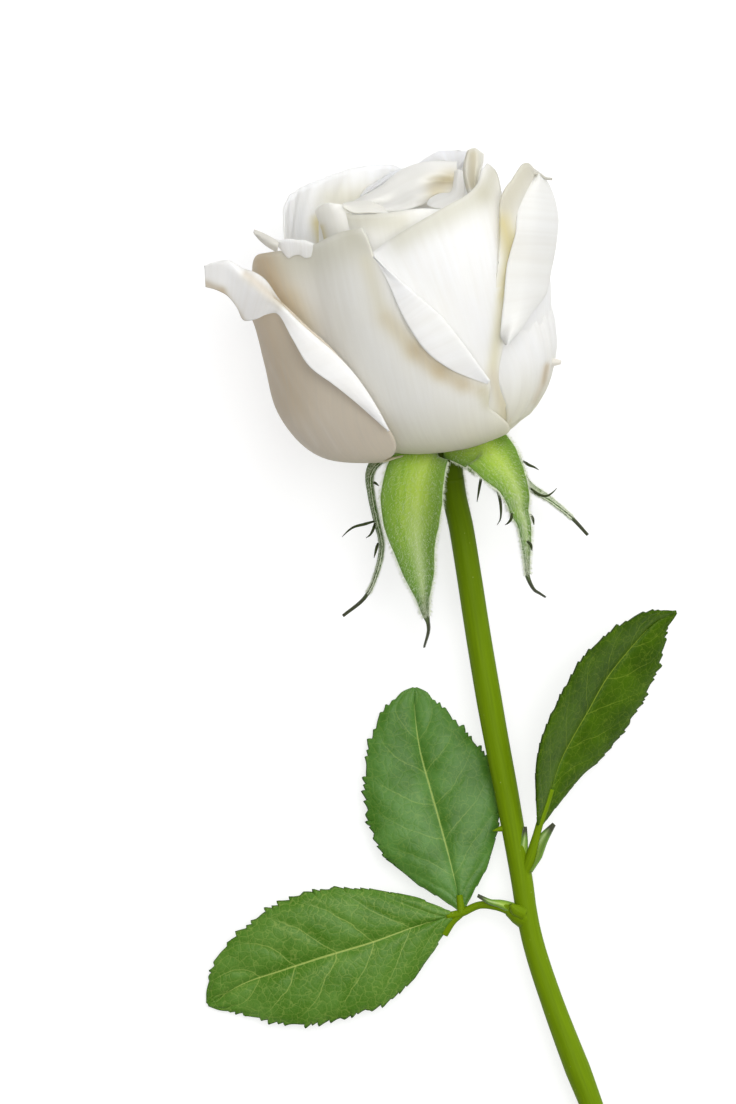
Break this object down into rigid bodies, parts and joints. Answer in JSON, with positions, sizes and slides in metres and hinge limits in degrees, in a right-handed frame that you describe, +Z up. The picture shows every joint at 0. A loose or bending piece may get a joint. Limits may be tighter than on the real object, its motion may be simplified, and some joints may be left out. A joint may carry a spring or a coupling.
{
  "type": "cut rose",
  "caption": "Cut rose lying on its side: half open layered bloom, reflexed sepals, curved stem and serrated leaflets.",
  "frame": {"origin": "middle of the small flat spot under the bloom, on the surface that the rose lies on", "axes": "+Z up from the surface, +Y from the cut end of the stem to the bloom"},
  "size_m": [0.1216, 0.3037, 0.0669],
  "materials": {
    "petal": "soft white petal, faint velvet sheen",
    "sepal": "yellow green, downy edges",
    "stem": "smooth green skin, slight wax gloss",
    "leaf": "mid green, veined, slight wax gloss",
    "leaf_dark": "dark green, veined, slight wax gloss"
  },
  "bodies": {
    "root": {"stem": "stem", "calyx": "sepal", "bloom": "petal", "leaf_left": "leaf", "leaf_right": "leaf_dark"}
  },
  "joints": []
}
